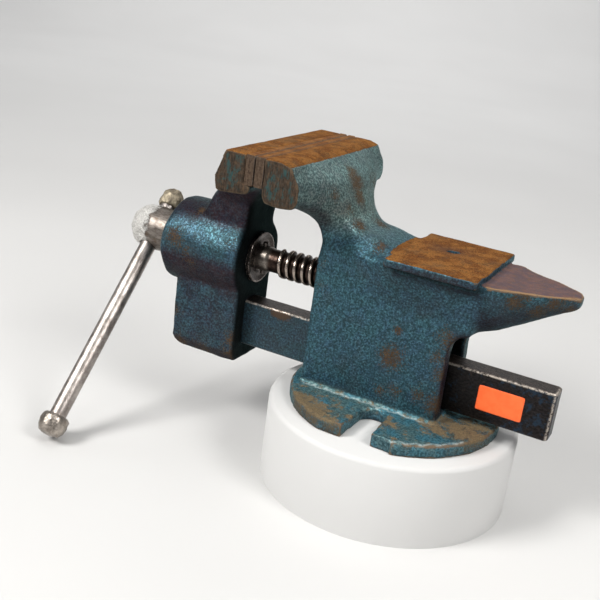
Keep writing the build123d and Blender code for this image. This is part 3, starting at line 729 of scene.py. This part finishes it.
cast_masks(
    me, SPOTS,
    wear_gain=lambda P, N: np.clip(0.25 + 0.30 * step(P[:, 2], 86, 92) + 0.55 * (1 - step(P[:, 2], 6.6, 8.5)) + 0.55 * step(P[:, 0], 33, 36) * step(P[:, 2], 60, 66)
                                   + 0.40 * step(P[:, 0], 20, 23) * (1 - step(P[:, 2], 42, 50)) + 0.25 * step(P[:, 2], 70.8, 71.6) * (P[:, 0] > -8) * (P[:, 0] < 35), 0, 1),
    bare=lambda P, N: np.maximum(((P[:, 2] > 74.1) & (P[:, 0] > -8)) * step(N[:, 2], 0.55, 0.8), step(P[:, 2], 105.2, 106.8) * step(N[:, 2], 0.35, 0.8)),
    horn=lambda P, N: ((P[:, 2] > 70.4) & (P[:, 2] < 73.4) & (P[:, 0] > 33.9)).astype(float) * step(N[:, 2], 0.50, 0.82),
    flange=lambda P, N: (1 - step(P[:, 2], 6.9, 7.9)) * step(N[:, 2], -0.2, 0.3),
    # faded paint, partly painted light: the neck below the jaw is painted lighter and greyer
    faded_and_lit=lambda P, N: step(P[:, 2], 74, 86) * (0.75 + 0.25 * step(P[:, 0], -38, -28)),
    # painted highlight: a thin glint along the fillet where the trunk meets the flange
    fillet_glint=lambda P, N: np.exp(-((np.abs(P[:, 1]) - 18.6 + 0.35 * np.sin(P[:, 0] * 0.9) + 0.25 * np.sin(P[:, 0] * 2.3 + 1.0)) / 0.45) ** 2) * (P[:, 2] < 8.4) * (P[:, 2] > 5.2) * step(N[:, 2], 0.3, 0.6)
                      * (1 - step(P[:, 0], 12, 25)) * step(P[:, 0], -40, -36)
                      + 0.75 * np.exp(-((np.hypot(P[:, 0], P[:, 1]) - 46.2 + 0.4 * np.sin(P[:, 0] * 1.1)) / 0.5) ** 2) * (P[:, 2] < 7) * (P[:, 2] > 4.8) * (P[:, 0] > 5) * (P[:, 0] < 40),
    stain=lambda P, N: np.exp(-((P[:, 0] - 10) / 8) ** 2 - ((P[:, 1] - 6.5) / 5.5) ** 2) * (P[:, 2] > 73),
    # dirt and painted shade: the trunk's rear strip under the horn, the plate's side, downward faces, under the horn
    # and between the jaws are darkened
    dirt_and_shade=lambda P, N: np.clip(1.0 * step(P[:, 0], 22.6, 24.2) * (1 - step(P[:, 2], 42, 52)) * (P[:, 2] > 8) + 0.6 * ((P[:, 2] > 71.7) & (P[:, 2] < 74.6) & (P[:, 0] > -9) & (P[:, 0] < 35)) + 0.3 * step(-N[:, 2], 0.1, 0.6) + 0.15 * (P[:, 0] > 34) * step(-P[:, 2], -73, -70) + 0.5 * (P[:, 2] > 76) * (np.abs(P[:, 1]) < 16) * step(-P[:, 0], 38, 48), 0, 1),
    # painted shade: near black under the plate's overhang, on the rear jaw's inner face and inside the body's hollow
    painted_shade=lambda P, N: np.clip(0.8 * step(P[:, 2], 68.4, 70.4) * (1 - step(P[:, 2], 71.3, 71.9)) * (P[:, 0] > -8.5) * (P[:, 0] < 35.5) * (np.abs(P[:, 1]) > 15) + step(-N[:, 0], 0.6, 0.9) * (P[:, 0] > -61.0) * (P[:, 0] < -39.0) * 0.55
                              + ((np.abs(P[:, 1]) < 9.8) & (P[:, 2] < 66) & (P[:, 2] > 6.5) & (P[:, 0] < 24.2)).astype(float), 0, 1))
give(base, CAST)
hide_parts("vise_body")
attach(base, "base")


def jaw_smooth(co):
    x, y, z = co.T
    return 1.0 - 0.80 * step(z, 103, 105)

jaw = remeshed("front_jaw_casting", "jaw_casting", 0.60, jaw_smooth, 14)
me = jaw.data


def column_weight(co):
    x, y, z = co.T
    w = step(z, 58, 66) * (1 - step(z, 92, 96)) * (1 - step(np.abs(y), 36, 42))
    w3 = step(z, 36, 40) * (1 - step(z, 44, 48)) * (np.abs(y) > 9) * 0.5
    bore = (np.hypot(y, z - 51.5) < 9.0) | ((np.abs(y) < 7.5) & (z < 33))
    return np.where(bore, 0.0, np.maximum(w, w3))

relax(me, column_weight, 60)
P = coords(me) * 1000
bore = (np.hypot(P[:, 1], P[:, 2] - 51.5) < 8.0) | ((np.abs(P[:, 1]) < 7.0) & (P[:, 2] < 32.5) & (P[:, 2] > 7.5))
displace(me, (0.22 * vnoise(P, 12.0, 6.0, 2) + 0.10 * vnoise(P, 4.2, 8.0, 2)) * (1 - 0.6 * step(P[:, 2], 105, 106.5)) * np.where(bore, 0.1, 1.0))
cast_masks(
    me, [(-112.4, -19.7, 56.7, 4.5, 0.95), (-105.3, -20.4, 51.8, 4, 0.6), (-104.3, -10.5, 69, 3, 0.85), (-109.6, -20.2, 54.1, 4, 0.65), (-102.4, -19.8, 46.6, 5, 0.45),
         (-108.2, -12.9, 3.7, 5, 0.75), (-78.8, -14.5, 13.1, 4.5, 0.85), (-79, -14, 5, 5, 0.8), (-95, -14, 2, 6, 0.6), (-112, -14, 20, 4, 0.6), (-112, -14, 35, 3, 0.5),
         (-84, -44, 100, 5, 0.5), (-95, 15, 30, 8, 0.7), (-100, 0, 71, 5, 0.5), (-108, 12, 60, 6, 0.6), (-86, 12, 80, 6, 0.5), (-82, -18, 60, 4, 0.4)],
    wear_gain=lambda P, N: np.clip(0.20 + 0.32 * step(P[:, 2], 88, 93) + 0.25 * (1 - step(P[:, 2], 4, 9)), 0, 1),
    bare=lambda P, N: step(P[:, 2], 105.2, 106.8) * step(N[:, 2], 0.35, 0.8),
    horn=lambda P, N: np.zeros(len(P)),
    flange=lambda P, N: np.zeros(len(P)),
    # faded paint, partly painted light: the top of the column is painted lighter and greyer
    faded_and_lit=lambda P, N: 0.35 * step(P[:, 2], 86, 94),
    # dirt and painted shade: the boss underside, the lower block, downward faces and the column under the jaw are
    # darkened
    dirt_and_shade=lambda P, N: np.clip(0.25 + 0.95 * step(-N[:, 2], -0.12, 0.30) * (P[:, 2] > 33) + 0.32 * (1 - step(P[:, 2], 30, 40)) + 0.6 * step(-N[:, 2], 0.1, 0.45) + 0.85 * step(P[:, 2], 62, 70) * (1 - step(P[:, 2], 86, 90)), 0, 1),
    # painted shade: the inner face between the jaws is made near black
    painted_shade=lambda P, N: step(N[:, 0], 0.5, 0.85) * (P[:, 0] > -82.0) * step(94.0 - P[:, 2], 0, 4))
give(jaw, CAST)
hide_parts("front_jaw_casting")
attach(jaw, "sliding_jaw")

# ------------------------------------------------------------------ screw, handle, small parts
screw = remeshed("spindle", "spindle_screw", 0.34, lambda co: np.where(co[:, 0] < -118, 1.0, 0.45), 6)
co = coords(screw.data) * 1000
cap = step(-co[:, 0], 133.5, 138.0)
cap *= step(np.hypot(co[:, 1] + 0.0, co[:, 2] - 51.5), 0.0, 2.0)
inhole = np.hypot(co[:, 0] + 135.2, (co[:, 1] * 0.74966 - (co[:, 2] - 51.5) * 0.66182)) < 4.6
displace(screw.data, (0.38 * vnoise(co, 2.6, 11.0, 3) - 0.12) * cap * np.where(inhole, 0.0, 1.0) + 0.06 * vnoise(co, 5.0, 12.0, 2) * np.where(inhole, 0.0, 1.0) * (co[:, 0] < -120.5))
give(screw, M_SCREW)
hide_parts("spindle")
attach(screw, "screw")

for node, seed, mt, amt in (("handle_knob_upper", 3.0, M_KNOB, 0.55), ("handle_knob_lower", 5.0, M_KNOB2, 0.28)):
    kb = remeshed(node, node + "_forged", 0.36, None, 6)
    co = coords(kb.data) * 1000
    lo, hi = co.min(0), co.max(0)
    up = np.array([0, 0.66182, 0.74966])
    ctr = (lo + hi) / 2
    along = (co - ctr) @ up
    axis_pt = np.array([-135.2, 0, 51.5])
    radial = np.linalg.norm((co - axis_pt) - np.outer((co - axis_pt) @ up, up), axis=1)
    outer = step(radial, 4.1, 4.5) + step(np.abs(along), 3.2, 4.2) * step(along * (1 if "upper" in node else -1), 0, 1)
    displace(kb.data, amt * vnoise(co, 3.2, seed, 3) * np.clip(outer, 0, 1))
    give(kb, mt)
    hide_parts(node)
    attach(kb, "handle")


def bevel(node, width_mm, seg=3):
    m = NODES[node].modifiers.new("bevel", "BEVEL")
    m.width = width_mm * MM
    m.segments = seg
    m.limit_method = "ANGLE"
    m.angle_limit = math.radians(35)

# handle: the forged bar is not quite round or straight in its skin
hb = remeshed("handle_bar", "handle_rod", 0.42, None, 6)
co = coords(hb.data) * 1000
axis_pt = np.array([-135.2, 0, 51.5])
up = np.array([0, 0.66182, 0.74966])
displace(hb.data, 0.05 * vnoise(co, 6.0, 21.0, 2) - 0.03)
give(hb, M_HANDLE)
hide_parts("handle_bar")
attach(hb, "handle")

dress("slide_bar", M_BAR)
bevel("slide_bar", 0.5)
for nd in ("rear_jaw_plate", "front_jaw_plate"):
    dress(nd, M_PLATE)
for nd in ("rear_jaw_screws", "front_jaw_screws", "nut_pin", "slide_bar_pin", "retaining_pin"):
    dress(nd, M_DARK)
dress("retaining_washer", M_WASHER)
dress("spindle_nut", M_NUT)

# plain price label on the bar's side, no print
LX0, LX1, LZ0, LZ1 = 37.5, 57.5, 13.8, 25.2
nx, nz_ = 40, 24
bm = bmesh.new()
grid = []
for j in range(nz_ + 1):
    row = []
    for i in range(nx + 1):
        u, v = i / nx, j / nz_
        px, pz = LX0 + u * (LX1 - LX0), LZ0 + v * (LZ1 - LZ0)
        cx, cz = (u - 0.5) * 2, (v - 0.5) * 2
        corner = max(0.0, abs(cx) + abs(cz) - 1.86)
        px -= corner * 1.6 * (1 if cx > 0 else -1)
        pz -= corner * 1.2 * (1 if cz > 0 else -1)
        lift = 0.018 + 0.012 * noise.noise(Vector((px * 0.25, 0.0, pz * 0.25)))
        row.append(bm.verts.new((px * MM, (-5.45 - lift) * MM, pz * MM)))
    grid.append(row)
for j in range(nz_):
    for i in range(nx):
        bm.faces.new((grid[j][i], grid[j][i + 1], grid[j + 1][i + 1], grid[j + 1][i]))
lm = bpy.data.meshes.new("price_label")
bm.to_mesh(lm)
bm.free()
label = bpy.data.objects.new("blank_label", lm)
col.objects.link(label)
sm = label.modifiers.new("thick", "SOLIDIFY")
sm.thickness = 0.05 * MM
sm.offset = 1.0
lm.polygons.foreach_set("use_smooth", np.ones(len(lm.polygons), bool))
give(label, M_LABEL)
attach(label, "sliding_jaw")

# ------------------------------------------------------------------ stage, light, camera
def stage_material():
    k = Mat("pale_floor")
    n1 = k.noise(0.004, 2, 0.5)
    c = k.mix(k.ramp(n1, 0.3, 0.7), (0.600, 0.596, 0.588), (0.620, 0.616, 0.608))
    return k.done(c, 0.75, 0.0, k.bump(k.noise(2.5, 3, 0.5), 0.03, 0.05))

FLOOR_Z = CAD_BOX[0][2] - 0.0018
STAGE = stage_material()
# flat floor that sweeps up into a wall well behind the vise
sweep = [(-5.0, 0.0), (-1.5, 0.0), (1.6, 0.0)]
sweep += [(1.6 + 1.4 * math.sin(t * math.pi / 36), 1.4 - 1.4 * math.cos(t * math.pi / 36)) for t in range(1, 19)] + [(3.0, 4.0)]
fwd, side_dir = Vector((-0.4194, 0.9078, 0)), Vector((0.9078, 0.4194, 0))
bm = bmesh.new()
rows = [[bm.verts.new(fwd * d + side_dir * w + Vector((0, 0, FLOOR_Z + h))) for w in (-7.0, 0.0, 7.0)] for d, h in sweep]
for r0, r1 in zip(rows, rows[1:]):
    for i in range(2):
        bm.faces.new((r0[i], r0[i + 1], r1[i + 1], r1[i]))
fl = bpy.data.meshes.new("floor")
bm.to_mesh(fl)
bm.free()
fl.polygons.foreach_set("use_smooth", np.ones(len(fl.polygons), bool))
floor = bpy.data.objects.new("floor", fl)
col.objects.link(floor)
fl.materials.append(STAGE)
# a low round plinth stands in for the bench edge the handle hangs past
prof = [(0.0, 0.0), (0.0545, 0.0), (0.0560, -0.0006), (0.0566, -0.0020), (0.0566, FLOOR_Z)]
bm = bmesh.new()
ring = [bm.verts.new((r, 0, zz)) for r, zz in prof]
for a, b in zip(ring, ring[1:]):
    bm.edges.new((a, b))
bmesh.ops.spin(bm, geom=bm.verts[:] + bm.edges[:], cent=(0, 0, 0), axis=(0, 0, 1), angle=2 * math.pi, steps=128, use_duplicate=False)
bmesh.ops.remove_doubles(bm, verts=bm.verts[:], dist=1e-6)
bmesh.ops.recalc_face_normals(bm, faces=bm.faces[:])
pm = bpy.data.meshes.new("plinth")
bm.to_mesh(pm)
bm.free()
plinth = bpy.data.objects.new("plinth", pm)
col.objects.link(plinth)
pm.materials.append(STAGE)
pm.polygons.foreach_set("use_smooth", np.ones(len(pm.polygons), bool))


def area(name, loc, target, size, power, colour=(1, 1, 1)):
    l = bpy.data.lights.new(name, "AREA")
    l.shape = "RECTANGLE"
    l.size, l.size_y = size
    l.energy = power
    l.color = colour
    o = bpy.data.objects.new(name, l)
    o.location = loc
    o.rotation_euler = (Vector(target) - Vector(loc)).to_track_quat("-Z", "Y").to_euler()
    col.objects.link(o)

area("key", (-0.50, -0.64, 0.68), (-0.03, 0, 0.05), (0.36, 0.30), 17.0, (1.0, 0.99, 0.97))
area("right", (0.52, -0.22, 0.55), (0.0, 0, 0.06), (0.30, 0.30), 6.5, (1.0, 0.99, 0.97))
area("top", (-0.06, -0.06, 0.95), (-0.03, 0, 0.05), (0.55, 0.45), 3.6, (1.0, 0.98, 0.95))
area("rim", (0.25, 0.65, 0.60), (0.0, 0, 0.07), (0.40, 0.30), 1.5, (1.0, 0.99, 0.97))
area("wall", (-0.5, 1.1, 1.6), (-1.1, 2.4, 0.3), (1.6, 0.8), 55.0)
world = bpy.data.worlds.new("studio")
bpy.context.scene.world = world
world.use_nodes = True
wt = world.node_tree
bg = wt.nodes["Background"]
tc = wt.nodes.new("ShaderNodeTexCoord")
sp = wt.nodes.new("ShaderNodeSeparateXYZ")
wt.links.new(tc.outputs["Generated"], sp.inputs[0])
rp = wt.nodes.new("ShaderNodeMapRange")
rp.inputs["From Min"].default_value = -0.1
rp.inputs["From Max"].default_value = 0.9
rp.inputs["To Min"].default_value = 0.16
rp.inputs["To Max"].default_value = 0.34
wt.links.new(sp.outputs[2], rp.inputs["Value"])
bg.inputs[0].default_value = (0.93, 0.95, 1.0, 1)
wt.links.new(rp.outputs["Result"], bg.inputs[1])

cam = bpy.data.cameras.new("camera")
cam.sensor_width = 36.0
cam.lens = 964.483 / 600.0 * 36.0
cam.shift_y = 4.80 / 600.0
cam.clip_start, cam.clip_end = 0.01, 50
co = bpy.data.objects.new("camera", cam)
R = ((0.8799097, 0.4573658, 0.1287458), (0.2644431, -0.2462804, -0.9324247), (-0.3947516, 0.8544953, -0.3376517))
mw = Matrix(((R[0][0], -R[1][0], -R[2][0], 0.12301569), (R[0][1], -R[1][1], -R[2][1], -0.38149725),
             (R[0][2], -R[1][2], -R[2][2], 0.18490840), (0, 0, 0, 1)))
co.matrix_world = mw
col.objects.link(co)
bpy.context.scene.camera = co
bpy.context.scene.view_settings.view_transform = "Standard"
bpy.context.scene.view_settings.exposure = -0.7
